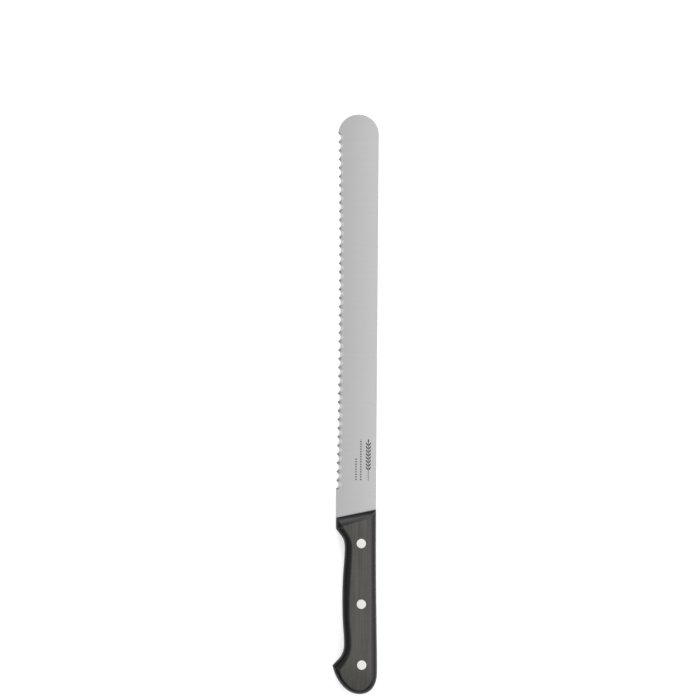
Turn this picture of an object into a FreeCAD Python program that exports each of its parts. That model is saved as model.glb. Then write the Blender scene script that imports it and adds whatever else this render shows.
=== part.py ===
"""A long serrated bread and pastry knife, modelled as the pieces it is made of.

The blade and its full tang are one stamped and ground steel blank. Two moulded handle scales sit
on the faces of the tang, and three two-piece cutler's rivets hold them: each rivet is a headed
tube, entered from the left, and a headed pin pressed into it from the right.

The knife lies on its right side, with the tip towards +Y, the spine towards +X and the left side
up. It is drawn about the heel (x = 0 on the spine line, y = 0 just behind the scales' front on
the spine, z = 0 in the middle of the blank) and then moved, so that the origin is at the centre
of the bottom of its box. Every size is in millimetres.
"""

import FreeCAD, Part
import math
import os

Vec = FreeCAD.Vector

# ---- Driving dimensions: the blade ----
BLANK_THICKNESS = 2.2       # the rolled sheet, left as it is in the tang
TIP_Y = 297.5               # end of the rounded tip, 300 in front of the scales on the centre line
TIP_RADIUS = 15.4           # the tip is a half circle, so the blade is twice this wide there
SPINE_ROUND = 0.85          # radius on both edges of the spine, carried round the tip
EDGE_START_Y = 15.7         # where the plain heel ends and the scallops start
EDGE_END_Y = 283.2          # last tooth, where the rounded tip starts
EDGE_WIDTH_START = 30.4     # spine to tooth points at the first scallop
EDGE_WIDTH_MIDDLE = 29.6    # the row of points is slightly hollow along its length
EDGE_WIDTH_END = 30.7
GRIND_HEEL = 1.0            # thickness behind the edge at the heel, after flat grinding
GRIND_TAPER = 0.3           # thickness that the grinding takes off more at the tip than at the heel
GRIND_RUN_IN = 7.0          # length of the ramp where the wheel runs in, in front of the scales
GRIND_STEP = 0.6            # strip left unground between the ramp and the scales
SCALLOPS = 41
SCALLOP_DEPTH = 2.0         # from a tooth point to the bottom of the scallop beside it
SCALLOP_ANGLE = 25.0        # angle of the ground flutes to the plane of the blade, in degrees
TOOTH_LAND = 0.08           # height of the blunt left on each tooth point

# ---- Driving dimensions: the handle ----
HANDLE_THICKNESS = 16.0
FRONT = (0.0, 0.5)          # the spine end of the scales' slanted front
HEEL = (-30.3, -5.9)        # its other end, which is also the corner of the blade's plain heel
SCALE_WALL = 1.2            # height of the square wall of a scale above the tang
SCALE_ROUND_END = 66.0      # the rounded side stops at this angle, short of flat, which leaves a crease
SCALE_SECTIONS = 5

# ---- Driving dimensions: the rivets ----
RIVET_Y = (-25.1, -70.7, -116.4)
RIVET_X = (-11.0, -10.6, -10.0)
RIVET_NAMES = ("front", "middle", "rear")
HEAD_RADIUS = 3.55
HEAD_THICKNESS = 1.6
HEAD_GAP = 0.12             # play round a head in its counterbore, which shows as a fine dark ring
TUBE_RADIUS = 2.5
TUBE_BORE_RADIUS = 1.62
PIN_RADIUS = 1.6
SHANK_PLAY = 0.06           # play of the tube in the scales, on the radius
TANG_PLAY = 0.15            # play of the tube in the tang, on the radius
RIVET_END_GAP = 0.7         # room left in front of the tube's end and of the pin's end

HALF_BLANK = BLANK_THICKNESS / 2
HALF_HANDLE = HANDLE_THICKNESS / 2
FAR = 400.0                 # larger than the whole knife, for cutting bodies

# The handle's outline at the tang, and the edge of its flat face, as matching stretches of points
# (x, y). A stretch of two points is straight and a longer one is a smooth curve. The third entry
# says which ends of the curve run parallel to the knife, so that neighbours meet without a corner.
HANDLE_STRETCHES = (
    # the slanted front, from the spine to the heel
    ((FRONT, HEEL),
     ((-4.0, -5.7), (-24.4, -12.4)), ""),
    # the short heel below the blade's edge
    ((HEEL, (-30.2, -14.4)),
     ((-24.4, -12.4), (-24.0, -13.4)), ""),
    # the finger notch
    (((-30.2, -14.4), (-27.3, -18.0), (-24.7, -21.8), (-23.5, -28.5)),
     ((-24.0, -13.4), (-21.3, -17.2), (-18.9, -21.8), (-17.6, -28.5)), "end"),
    # the belly
    (((-23.5, -28.5), (-24.5, -47.0), (-25.0, -64.0), (-24.5, -84.0), (-23.5, -101.0)),
     ((-17.6, -28.5), (-18.2, -47.0), (-19.1, -64.0), (-19.0, -84.0), (-17.7, -101.0)), "both"),
    # the hollow in front of the beak
    (((-23.5, -101.0), (-24.3, -106.6), (-26.4, -110.7), (-29.5, -114.1), (-32.2, -117.0)),
     ((-17.7, -101.0), (-18.2, -106.0), (-19.7, -110.6), (-22.4, -115.6), (-26.0, -120.6)), "start"),
    # the round butt, from the beak to the back
    (((-32.2, -117.0), (-30.6, -122.0), (-26.8, -129.2), (-20.6, -135.6), (-11.8, -138.5),
      (-4.0, -136.2), (0.4, -130.0), (1.6, -122.0)),
     ((-26.0, -120.6), (-24.9, -124.4), (-22.2, -128.9), (-17.6, -133.2), (-11.4, -134.9),
      (-6.2, -132.9), (-3.5, -128.6), (-2.8, -122.0)), "end"),
    # the back, up to the spine
    (((1.6, -122.0), (1.3, -100.0), (0.5, -60.0), (0.1, -25.0), FRONT),
     ((-2.8, -122.0), (-3.0, -100.0), (-3.5, -60.0), (-4.0, -25.0), (-4.0, -5.7)), "start"),
)


def stretch_edge(points, parallel):
    """One edge of an outline: a line through two points, or a smooth curve through more."""
    if len(points) == 2:
        return Part.makeLine(points[0], points[1])
    first = (points[1] - points[0]).normalize()
    last = (points[-1] - points[-2]).normalize()
    if parallel in ("start", "both"):
        first = Vec(0, math.copysign(1.0, first.y), 0)
    if parallel in ("end", "both"):
        last = Vec(0, math.copysign(1.0, last.y), 0)
    curve = Part.BSplineCurve()
    curve.interpolate(Points=points, InitialTangent=first, FinalTangent=last)
    return curve.toShape()


def handle_wire(share, z):
    """The handle's outline, moved by a share of the way to the edge of its flat, at height z."""
    edges = []
    for outer, flat, parallel in HANDLE_STRETCHES:
        points = [
            Vec(a[0] + share * (b[0] - a[0]), a[1] + share * (b[1] - a[1]), z)
            for a, b in zip(outer, flat)
        ]
        edges.append(stretch_edge(points, parallel))
    return Part.Wire(edges)


def prism(wire, height):
    """The flat wire's face, extruded upwards by height."""
    return Part.Face(wire).extrude(Vec(0, 0, height))


def cylinder(radius, x, y, z_low, z_high):
    """An upright cylinder between two heights."""
    return Part.makeCylinder(radius, z_high - z_low, Vec(x, y, z_low))


def above_plane(a, b, c):
    """A large body that fills the space above the plane through three points."""
    normal = (b - a).cross(c - a).normalize()
    if normal.z < 0:
        normal = normal * -1
    body = Part.makeBox(2 * FAR, 2 * FAR, FAR, Vec(-FAR, -FAR, 0))
    body.Placement = FreeCAD.Placement(a, FreeCAD.Rotation(Vec(0, 0, 1), normal))
    return body


def edge_arc():
    """The line of tooth points, from the rounded tip to the heel."""
    return Part.Arc(
        Vec(-EDGE_WIDTH_END, EDGE_END_Y, -HALF_BLANK),
        Vec(-EDGE_WIDTH_MIDDLE, (EDGE_START_Y + EDGE_END_Y) / 2, -HALF_BLANK),
        Vec(-EDGE_WIDTH_START, EDGE_START_Y, -HALF_BLANK),
    )


def edge_width(y):
    """Distance from the spine to the line of tooth points, at y."""
    t = 2 * (y - EDGE_START_Y) / (EDGE_END_Y - EDGE_START_Y) - 1
    bow = (EDGE_WIDTH_START + EDGE_WIDTH_END) / 2 - EDGE_WIDTH_MIDDLE
    return EDGE_WIDTH_MIDDLE + t * (EDGE_WIDTH_END - EDGE_WIDTH_START) / 2 + t * t * bow


def blade_plate():
    """The blade in front of the scales, as a plate of the sheet's thickness with its final outline."""
    z = -HALF_BLANK
    centre = Vec(-TIP_RADIUS, TIP_Y - TIP_RADIUS, z)
    front, heel = Vec(*FRONT, z), Vec(*HEEL, z)
    last = Vec(-EDGE_WIDTH_END, EDGE_END_Y, z)
    top = Vec(-TIP_RADIUS, TIP_Y, z)
    start = Vec(-EDGE_WIDTH_START, EDGE_START_Y, z)
    # the tip's circle is met a little before its widest point, so the last tooth stands on it
    on_circle = Vec(centre.x - math.sqrt(TIP_RADIUS**2 - (EDGE_END_Y - centre.y) ** 2), EDGE_END_Y, z)
    wire = Part.Wire([
        Part.makeLine(front, Vec(0, centre.y, z)),
        Part.Arc(Vec(0, centre.y, z), top, on_circle).toShape(),
        Part.makeLine(on_circle, last),
        edge_arc().toShape(),
        Part.makeLine(start, heel),
        Part.makeLine(heel, front),
    ])
    return prism(wire, BLANK_THICKNESS)


def rounded_blank():
    """A body with a rounded spine and a rounded rim at the tip, to be shared with the plate."""
    r = SPINE_ROUND
    h = HALF_BLANK
    tip_y = TIP_Y - TIP_RADIUS

    def profile(outer_x, inner_x, y):
        """Upright section from inner_x to a rounded side at outer_x."""
        s = math.copysign(1.0, outer_x - inner_x)
        q = r * (1 - math.sqrt(0.5))
        return Part.Wire([
            Part.makeLine(Vec(inner_x, y, -h), Vec(outer_x - s * r, y, -h)),
            Part.Arc(Vec(outer_x - s * r, y, -h), Vec(outer_x - s * q, y, -h + q),
                     Vec(outer_x, y, -h + r)).toShape(),
            Part.makeLine(Vec(outer_x, y, -h + r), Vec(outer_x, y, h - r)),
            Part.Arc(Vec(outer_x, y, h - r), Vec(outer_x - s * q, y, h - q),
                     Vec(outer_x - s * r, y, h)).toShape(),
            Part.makeLine(Vec(outer_x - s * r, y, h), Vec(inner_x, y, h)),
            Part.makeLine(Vec(inner_x, y, h), Vec(inner_x, y, -h)),
        ])

    low_y = HEEL[1] - 1
    length = Part.Face(profile(0.0, -2 * TIP_RADIUS - 1, low_y)).extrude(Vec(0, tip_y - low_y, 0))
    half_disc = Part.Face(profile(0.0, -TIP_RADIUS, tip_y)).revolve(
        Vec(-TIP_RADIUS, tip_y, 0), Vec(0, 0, 1), 180
    )
    return length.fuse(half_disc)


def grinding_cuts():
    """What the wheel takes off the left and the right face of the blade."""
    edge_x = -EDGE_WIDTH_START
    drop = (BLANK_THICKNESS - GRIND_HEEL) / 2
    heel_x, heel_y = HEEL
    face = above_plane(
        Vec(0, 0, HALF_BLANK),
        Vec(edge_x, 0, HALF_BLANK - drop),
        Vec(0, TIP_Y, HALF_BLANK - GRIND_TAPER / 2),
    )
    run_in = above_plane(
        Vec(FRONT[0], FRONT[1] + GRIND_STEP, HALF_BLANK),
        Vec(heel_x, heel_y + GRIND_STEP, HALF_BLANK),
        Vec(heel_x, heel_y + GRIND_STEP + GRIND_RUN_IN, HALF_BLANK - drop),
    )
    left = face.common(run_in)
    return left, left.mirror(Vec(0, 0, 0), Vec(0, 0, 1))


def edge_height(y):
    """Half the thickness of the ground blade at its edge, at y."""
    return (GRIND_HEEL - GRIND_TAPER * y / TIP_Y) / 2


def flutes():
    """The cylinders that grind the scallops, slanting up from the right face into the left one."""
    angle = math.radians(SCALLOP_ANGLE)
    along = Vec(math.cos(angle), 0, math.sin(angle))
    outwards = Vec(-math.sin(angle), 0, math.cos(angle))
    pitch = (EDGE_END_Y - EDGE_START_Y) / SCALLOPS
    rise = SCALLOP_DEPTH * math.sin(angle)
    radius = ((pitch / 2) ** 2 + rise**2) / (2 * rise)
    reach = 3 * SCALLOP_DEPTH
    tools = []
    for k in range(SCALLOPS):
        y = EDGE_START_Y + (k + 0.5) * pitch
        bottom = Vec(SCALLOP_DEPTH - edge_width(y), y, TOOTH_LAND - edge_height(y))
        base = bottom + outwards * radius - along * reach
        tools.append(Part.makeCylinder(radius, 4 * reach, base, along))
    return tools


def one_solid(shape):
    """The single solid that a run of cuts and fusions ends in, with split faces joined again."""
    solids = shape.removeSplitter().Solids
    if len(solids) != 1:
        raise ValueError(f"expected one solid, got {len(solids)}")
    return solids[0]


def make_blade():
    """The steel blank: blade, scalloped edge and full tang."""
    blade = blade_plate().common(rounded_blank())
    for cut in grinding_cuts():
        blade = blade.cut(cut)
    blade = blade.cut(flutes())
    tang = prism(handle_wire(0, -HALF_BLANK), BLANK_THICKNESS)
    for x, y in zip(RIVET_X, RIVET_Y):
        tang = tang.cut(cylinder(TUBE_RADIUS + TANG_PLAY, x, y, -FAR, FAR))
    return one_solid(blade.fuse(tang))


def make_scale():
    """The left handle scale, above the tang: a short wall, a rounded side and a flat face."""
    wall_top = HALF_BLANK + SCALE_WALL
    wall = prism(handle_wire(0, HALF_BLANK), SCALE_WALL)
    end = math.radians(SCALE_ROUND_END)
    sections = []
    for k in range(SCALE_SECTIONS):
        turn = end * k / (SCALE_SECTIONS - 1)
        share = (1 - math.cos(turn)) / (1 - math.cos(end))
        height = (HALF_HANDLE - wall_top) * math.sin(turn) / math.sin(end)
        sections.append(handle_wire(share, wall_top + height))
    scale = wall.fuse(Part.makeLoft(sections, True, False))
    for x, y in zip(RIVET_X, RIVET_Y):
        scale = scale.cut(cylinder(TUBE_RADIUS + SHANK_PLAY, x, y, 0, FAR))
        floor = HALF_HANDLE - HEAD_THICKNESS
        scale = scale.cut(cylinder(HEAD_RADIUS + HEAD_GAP, x, y, floor, FAR))
    return one_solid(scale)


def make_rivet_tube(x, y):
    """The hollow half of a rivet: a head in the left scale and a tube through the tang."""
    under_head = HALF_HANDLE - HEAD_THICKNESS
    head = cylinder(HEAD_RADIUS, x, y, under_head, HALF_HANDLE)
    tube = cylinder(TUBE_RADIUS, x, y, RIVET_END_GAP - under_head, under_head)
    bore = cylinder(TUBE_BORE_RADIUS, x, y, -FAR, under_head)
    return one_solid(head.fuse(tube).cut(bore))


def make_rivet_pin(x, y):
    """The solid half of a rivet: a head in the right scale and a pin up the bore of the tube."""
    under_head = HALF_HANDLE - HEAD_THICKNESS
    head = cylinder(HEAD_RADIUS, x, y, -HALF_HANDLE, -under_head)
    pin = cylinder(PIN_RADIUS, x, y, -under_head, under_head - RIVET_END_GAP)
    return one_solid(head.fuse(pin))


def make_parts():
    """Every piece of the knife by name, about the heel."""
    left = make_scale()
    parts = {
        "blade": make_blade(),
        "left_scale": left,
        "right_scale": left.mirror(Vec(0, 0, 0), Vec(0, 0, 1)),
    }
    for name, x, y in zip(RIVET_NAMES, RIVET_X, RIVET_Y):
        parts[f"{name}_rivet_tube"] = make_rivet_tube(x, y)
        parts[f"{name}_rivet_pin"] = make_rivet_pin(x, y)
    return parts


def main():
    """Makes the parts, moves the origin to the centre of the bottom of their box and writes them."""
    os.makedirs("parts", exist_ok=True)
    parts = make_parts()
    box = Part.makeCompound(list(parts.values())).optimalBoundingBox(False)
    shift = Vec(-box.Center.x, -box.Center.y, -box.ZMin)
    for name, shape in parts.items():
        shape.translate(shift)
        shape.exportStep(f"parts/{name}.step")
        print(name, shape.ShapeType, len(shape.Solids), "solid", round(shape.Volume / 1000, 2), "cm3",
              "valid" if shape.isValid() else "INVALID")
    print("moved by", [round(v, 3) for v in shift])


main()
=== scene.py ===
import logging
import math
from dataclasses import dataclass, field
from enum import Enum
from typing import Any, Callable, Sequence

import bmesh
import bpy
import numpy as np
from mathutils import Euler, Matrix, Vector
from mathutils.geometry import delaunay_2d_cdt


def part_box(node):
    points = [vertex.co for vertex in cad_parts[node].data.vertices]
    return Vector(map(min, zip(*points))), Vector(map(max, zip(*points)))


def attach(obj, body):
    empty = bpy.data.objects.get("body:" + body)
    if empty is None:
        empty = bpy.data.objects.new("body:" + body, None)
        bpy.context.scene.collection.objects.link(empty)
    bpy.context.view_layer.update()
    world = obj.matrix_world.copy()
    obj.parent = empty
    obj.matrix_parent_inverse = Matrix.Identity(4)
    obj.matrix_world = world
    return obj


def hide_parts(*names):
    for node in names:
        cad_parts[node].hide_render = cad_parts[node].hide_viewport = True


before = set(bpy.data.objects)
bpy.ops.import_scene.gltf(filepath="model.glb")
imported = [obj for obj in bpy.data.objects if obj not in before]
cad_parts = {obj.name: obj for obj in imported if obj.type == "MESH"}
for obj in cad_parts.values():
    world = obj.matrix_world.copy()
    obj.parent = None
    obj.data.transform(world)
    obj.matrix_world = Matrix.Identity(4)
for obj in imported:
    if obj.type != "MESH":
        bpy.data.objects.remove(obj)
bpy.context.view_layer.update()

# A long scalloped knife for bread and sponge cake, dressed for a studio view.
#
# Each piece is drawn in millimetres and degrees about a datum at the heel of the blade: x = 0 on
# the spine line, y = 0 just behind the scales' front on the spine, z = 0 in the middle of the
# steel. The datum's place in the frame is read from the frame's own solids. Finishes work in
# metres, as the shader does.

log = logging.getLogger("knife")
MM = 0.001
# How near two points are merged, and how near a flat fill takes them as one, in millimetres.
WELD = 0.0004
FILL_REACH = 1e-6
Point = tuple[float, float]
Colour = tuple[float, float, float]
# How many features a pattern has in a metre along each axis.
Grain = tuple[float, float, float]
# A row of a handle scale's side: its share of the way to the flat, its height and its wear.
Level = tuple[float, float, float]
# A low and a high value of noise, between which a patch fades in.
PATCHES: Point = (0.3, 0.7)

# Places in millimetres about the datum: the ends of the scales' slanted front on the spine and on
# the edge side, the tip, the front rivet's distance from the spine line, and the etched mark.
FRONT: Point = (0.0, 0.5)
HEEL: Point = (-30.3, -5.9)
TIP_Y = 297.5
FRONT_RIVET_X = -11.0
MARK: Point = (-6.2, 22.0)


# ---- Nodes ----


def _operator(operation: str, reflected: bool = False) -> Callable[..., "Socket"]:
    """Makes a method that adds one Math node.

    Args:
        operation: the node's operation.
        reflected: whether the other value comes before the socket.

    Returns:
        The method, which takes the other value, if the operation has one.
    """

    def method(self: "Socket", *other: "Socket | float") -> "Socket":
        """One Math node on the socket and the other value."""
        return self.kit.maths(operation, *((*other, self) if reflected else (self, *other)))

    return method


class Socket:
    """An output of a node, usable in Python expressions, which add the Math nodes they need."""

    def __init__(self, kit: "NodeKit", node: bpy.types.Node, output: int | str = 0) -> None:
        """Wraps one output of a node.

        Args:
            node: the node that the output belongs to.
            output: the output's name or place.
        """
        self.kit = kit
        self.node = node
        self.socket = node.outputs[output] if node.outputs else None

    def out(self, output: int | str) -> "Socket":
        """Another output of the same node."""
        return Socket(self.kit, self.node, output)

    __add__ = __radd__ = _operator("ADD")
    __sub__ = _operator("SUBTRACT")
    __rsub__ = _operator("SUBTRACT", reflected=True)
    __mul__ = __rmul__ = _operator("MULTIPLY")
    __truediv__ = _operator("DIVIDE")
    __abs__ = _operator("ABSOLUTE")
    at_least = _operator("MAXIMUM")
    at_most = _operator("MINIMUM")
    above = _operator("GREATER_THAN")
    root = _operator("SQRT")
    floor = _operator("FLOOR")
    fraction = _operator("FRACT")

    def clipped(self) -> "Socket":
        """Held between 0 and 1."""
        return self.at_least(0.0).at_most(1.0)

    def ramp(self, low: float, high: float) -> "Socket":
        """A smooth step from 0 at low to 1 at high."""
        return self.kit.add(
            "ShaderNodeMapRange",
            {"interpolation_type": "SMOOTHSTEP"},
            {"Value": self, "From Min": low, "From Max": high},
        )


class NodeKit:
    """Adds nodes to one tree."""

    def __init__(self, tree: bpy.types.NodeTree) -> None:
        """Starts with an empty tree.

        Args:
            tree: the shader or geometry tree to fill.
        """
        self.tree = tree
        tree.nodes.clear()

    def add(
        self,
        kind: str,
        settings: dict[str, Any] | None = None,
        inputs: dict[int | str, Any] | None = None,
        output: int | str = 0,
    ) -> Socket:
        """Adds one node.

        Args:
            kind: the node's type.
            settings: what the node is set to, before its sockets.
            inputs: a value, a socket or a list of sockets for each input, by name or place.
            output: the output to return.

        Returns:
            The chosen output.
        """
        node = self.tree.nodes.new(kind)
        for name, value in (settings or {}).items():
            setattr(node, name, value)
        for key, value in (inputs or {}).items():
            for one in value if isinstance(value, list) else [value]:
                if isinstance(one, Socket):
                    self.tree.links.new(one.socket, node.inputs[key])
                else:
                    node.inputs[key].default_value = one
        return Socket(self, node, output)

    def maths(self, operation: str, *values: Socket | float) -> Socket:
        """One Math node on the values."""
        return self.add("ShaderNodeMath", {"operation": operation}, dict(enumerate(values)))

    def mix(self, share: Socket | float, a: Any, b: Any) -> Socket:
        """The colour a, turning to b as share goes from 0 to 1."""
        ends = [(*v, 1.0) if isinstance(v, tuple) and len(v) == 3 else v for v in (a, b)]
        inputs = {0: share, 6: ends[0], 7: ends[1]}
        return self.add("ShaderNodeMix", {"data_type": "RGBA"}, inputs, 2)

    def marked(self, name: str) -> Socket:
        """The mesh's own value of that name, for a shader."""
        return self.add("ShaderNodeAttribute", {"attribute_name": name}, None, "Fac")

    def vector(self, x: Any, y: Any, z: Any) -> Socket:
        """A vector of three numbers."""
        return self.add("ShaderNodeCombineXYZ", None, {0: x, 1: y, 2: z})


# ---- Finishes ----


@dataclass(frozen=True)
class Finish:
    """A surface finish. Its subclasses say what varies over the surface."""

    name: str

    def make(self) -> bpy.types.Material:
        """Builds the material.

        Returns:
            The new material.
        """
        material = bpy.data.materials.new(self.name)
        material.use_nodes = True
        kit = NodeKit(material.node_tree)
        place = kit.add("ShaderNodeTexCoord", None, None, "Object")
        axes = kit.add("ShaderNodeSeparateXYZ", None, {0: place})
        inputs = self.surface(kit, axes.out("X"), axes.out("Y"), axes.out("Z"))
        shader = kit.add("ShaderNodeBsdfPrincipled", None, inputs)
        kit.add("ShaderNodeOutputMaterial", None, {"Surface": shader})
        return material

    def surface(self, kit: NodeKit, x: Socket, y: Socket, z: Socket) -> dict[str, Any]:
        """The shader's inputs.

        Args:
            kit: adds the nodes.
            x: the place across the knife, in metres.
            y: the place along the knife, in metres.
            z: the height, in metres.

        Returns:
            A value or a socket for each input that differs from the shader's own.
        """
        raise NotImplementedError

    @staticmethod
    def grain(place: Sequence[Socket], per_metre: Grain, detail: float = 2.0) -> Socket:
        """Noise that is stretched along the axes.

        Args:
            place: x, y and z, in metres.
            per_metre: how many features there are in a metre along each axis.
            detail: how many finer layers there are.

        Returns:
            The noise, from 0 to 1.
        """
        kit = place[0].kit
        where = kit.vector(*(axis * count for axis, count in zip(place, per_metre)))
        values = {"Vector": where, "Scale": 1.0, "Detail": detail, "Roughness": 0.55}
        return kit.add("ShaderNodeTexNoise", {"noise_dimensions": "3D"}, values)

    @staticmethod
    def bump(height: Socket, metres: float, strength: float) -> Socket:
        """A normal that is roughened by a height of 0 to 1 times the given metres."""
        values = {"Strength": strength, "Distance": metres, "Height": height}
        return height.kit.add("ShaderNodeBump", None, values)


@dataclass(frozen=True)
class Etching:
    """A generic mark etched on the blade: an ear of wheat beside two dotted rules."""

    start: Vector
    grain_from: float = 8.0 * MM
    grain_pitch: float = 2.6 * MM
    grain_pairs: int = 8
    grain_size: Point = (1.45 * MM, 0.52 * MM)
    grain_out: float = 1.1 * MM
    grain_tilt: float = math.radians(32)
    top_gap: float = 1.2 * MM
    stem: float = 0.2 * MM
    rows: tuple[tuple[float, float, float], ...] = (
        (-5.6 * MM, 1.9 * MM, 31.0 * MM),
        (-9.2 * MM, 1.9 * MM, 17.0 * MM),
    )
    dot: float = 0.62 * MM
    soft: float = 0.25

    def mask(self, x: Socket, y: Socket) -> Socket:
        """1 on the etched lines, else 0.

        Args:
            x: the place across the knife, in metres.
            y: the place along the knife, in metres.

        Returns:
            The mask.
        """
        along, across = y - self.start.y, x - self.start.x
        out = abs(across)
        end = self.grain_from + self.grain_pitch * self.grain_pairs
        step = ((along - self.grain_from) / self.grain_pitch).fraction() - 0.5
        step, side = step * self.grain_pitch, out - self.grain_out
        tilt = (math.cos(self.grain_tilt), math.sin(self.grain_tilt))
        u = (step * tilt[0] + side * tilt[1]) / self.grain_size[0]
        v = (side * tilt[0] - step * tilt[1]) / self.grain_size[1]
        ear = self._inside(u, v) * self._between(along, self.grain_from, end)
        past = along - end - self.top_gap
        top = self._inside(past / self.grain_size[0], across / self.grain_size[1])
        stem = (1.0 - out.above(self.stem)) * self._between(along, 0.0, end)
        mask = ear.at_least(top).at_least(stem)
        for offset, pitch, length in self.rows:
            step = (((along / pitch).fraction() - 0.5) * pitch) / self.dot
            dots = self._inside(step, (across - offset) / self.dot)
            mask = mask.at_least(dots * self._between(along, 0.0, length))
        return mask

    def _inside(self, u: Socket, v: Socket) -> Socket:
        """1 inside the unit circle, fading out at its rim."""
        return ((1.0 - (u * u + v * v)) / self.soft).clipped()

    @staticmethod
    def _between(value: Socket, low: float, high: float) -> Socket:
        """1 where the value is between low and high."""
        return value.above(low) * (1.0 - value.above(high))


@dataclass(frozen=True)
class GroundSteel(Finish):
    """Flat-ground blade steel: fine lines across the blade, a painted light gradient that lightens
    it towards the spine, and ground scallops and rounded rims painted brighter, partly for their
    polish and partly as painted highlight.
    """

    # The two tones that the lines, the bands and the painted light gradient mix between.
    dark: Colour = (0.565, 0.565, 0.57)
    light: Colour = (0.665, 0.665, 0.67)
    # Brighter tones for the ground scallops and the rounded rims: partly their polish, partly a
    # painted highlight.
    scallop: Colour = (0.73, 0.73, 0.74)
    rounded: Colour = (0.68, 0.68, 0.685)
    tang: Colour = (0.46, 0.46, 0.46)
    etched: Colour = (0.10, 0.10, 0.105)
    roughness: float = 0.36
    lines: Grain = (45.0, 3200.0, 45.0)
    bands: Grain = (9.0, 420.0, 9.0)
    scuffs: Grain = (2600.0, 30.0, 900.0)
    haze: Grain = (38.0, 22.0, 38.0)
    scuffed: Point = (0.62, 0.74)
    # Where the painted light gradient starts on the edge side, and how wide it is as it lightens
    # towards the spine.
    painted_light_from: float = -15.0 * MM
    painted_light_over: float = 30.0 * MM
    relief: float = 0.012 * MM
    etching: Etching | None = None

    def surface(self, kit: NodeKit, x: Socket, y: Socket, z: Socket) -> dict[str, Any]:
        """See Finish.surface."""
        ground, polished, tang = (kit.marked(name) for name in Blade.marks)
        lines = self.grain((x, y, z), self.lines, 3.0)
        bands = self.grain((x, y, z), self.bands)
        scuffs = self.grain((x, y, z), self.scuffs).ramp(*self.scuffed)
        haze = self.grain((x, y, z), self.haze, 3.0).ramp(*PATCHES)
        # Painted light: the colour grows lighter towards the spine, standing in for the light
        # falling across the blade.
        painted_spine_light = (x - self.painted_light_from) / self.painted_light_over
        share = lines * 0.5 + bands * 0.35 + (painted_spine_light.clipped() - 0.5) * 1.3
        colour = kit.mix(share, self.dark, self.light)
        # The scallops and the rounded rims are painted brighter, partly for their polish and partly
        # as painted highlight.
        colour = kit.mix(ground, colour, self.scallop)
        colour = kit.mix(polished, colour, self.rounded)
        colour = kit.mix(tang, colour, kit.mix(haze * 0.5, self.tang, self.dark))
        rough = self.roughness + (lines - 0.5) * 0.12 + (bands - 0.5) * 0.08 + (haze - 0.5) * 0.05
        rough = rough - ground * 0.08 - scuffs * 0.06 - polished * 0.1 + tang * 0.06
        if self.etching:
            top = kit.add("ShaderNodeNewGeometry", None, None, "Normal")
            up = kit.add("ShaderNodeSeparateXYZ", None, {0: top}, "Z").above(0.5)
            mask = self.etching.mask(x, y) * up * (0.82 + haze * 0.18)
            colour = kit.mix(mask, colour, self.etched)
            rough = rough + mask * 0.25
        height = lines * 0.7 + bands * 0.2 + scuffs * 0.1
        return {
            "Base Color": colour,
            "Metallic": 1.0,
            "Roughness": rough,
            "Normal": self.bump(height, self.relief, 0.35),
        }


@dataclass(frozen=True)
class MouldedGrip(Finish):
    """Black handle plastic: sanded with the rivets on the flat, smooth round the sides; the sides
    are painted near-black as painted shade, and the flat is painted darker towards the butt as
    painted shade.
    """

    # The sides' tones are far darker than the plastic itself: painted shade on the rounded sides.
    side: Colour = (0.0020, 0.0020, 0.0022)
    side_light: Colour = (0.0045, 0.0045, 0.0048)
    flat: Colour = (0.044, 0.041, 0.0365)
    flat_light: Colour = (0.077, 0.072, 0.064)
    worn: Colour = (0.075, 0.073, 0.069)
    gloss: float = 0.28
    lines: Grain = (900.0, 16.0, 700.0)
    streaks: Grain = (330.0, 9.0, 300.0)
    fleck: Grain = (1500.0, 500.0, 1500.0)
    cloud: Grain = (70.0, 18.0, 60.0)
    roughness: float = 0.31
    sanded_roughness: float = 0.21
    # Painted shade: where the flat starts to darken at the butt, and over what length the darkening
    # fades out.
    butt: float = 0.0
    butt_shade_over: float = 32.0 * MM
    relief: float = 0.03 * MM

    def surface(self, kit: NodeKit, x: Socket, y: Socket, z: Socket) -> dict[str, Any]:
        """See Finish.surface."""
        sanded, edge = kit.marked("sanded"), kit.marked("edge")
        lines = self.grain((x, y, z), self.lines, 4.0)
        streaks, fleck = (self.grain((x, y, z), g) for g in (self.streaks, self.fleck))
        cloud = self.grain((x, y, z), self.cloud).ramp(*PATCHES)
        grained = lines * 0.45 + streaks * 0.35 + fleck * 0.2
        flat = kit.mix((grained - 0.5) * 3.4 + 0.3 + cloud * 0.4, self.flat, self.flat_light)
        # Painted shade: the flat is mixed towards a darker tone near the butt.
        butt_shade = 1.0 - ((y - self.butt) / self.butt_shade_over).ramp(0.0, 1.0)
        flat = kit.mix(butt_shade * 0.5, flat, self.side_light)
        # Painted shade: the rounded sides take the near-black side tones.
        side = kit.mix(fleck * 0.6 + cloud * 0.4, self.side, self.side_light)
        wear = edge * (fleck * 0.6 + cloud * 0.6).clipped()
        colour = kit.mix(wear * 0.55, kit.mix(sanded, side, flat), self.worn)
        rough = self.roughness + sanded * self.sanded_roughness
        rough = rough + (fleck - 0.5) * 0.12 + (cloud - 0.5) * 0.06 - wear * 0.08
        height = lines * sanded + fleck * (1.0 - sanded * 0.6)
        return {
            "Base Color": colour,
            "Roughness": rough,
            "Specular IOR Level": self.gloss,
            "Normal": self.bump(height, self.relief, 0.4),
        }


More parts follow.
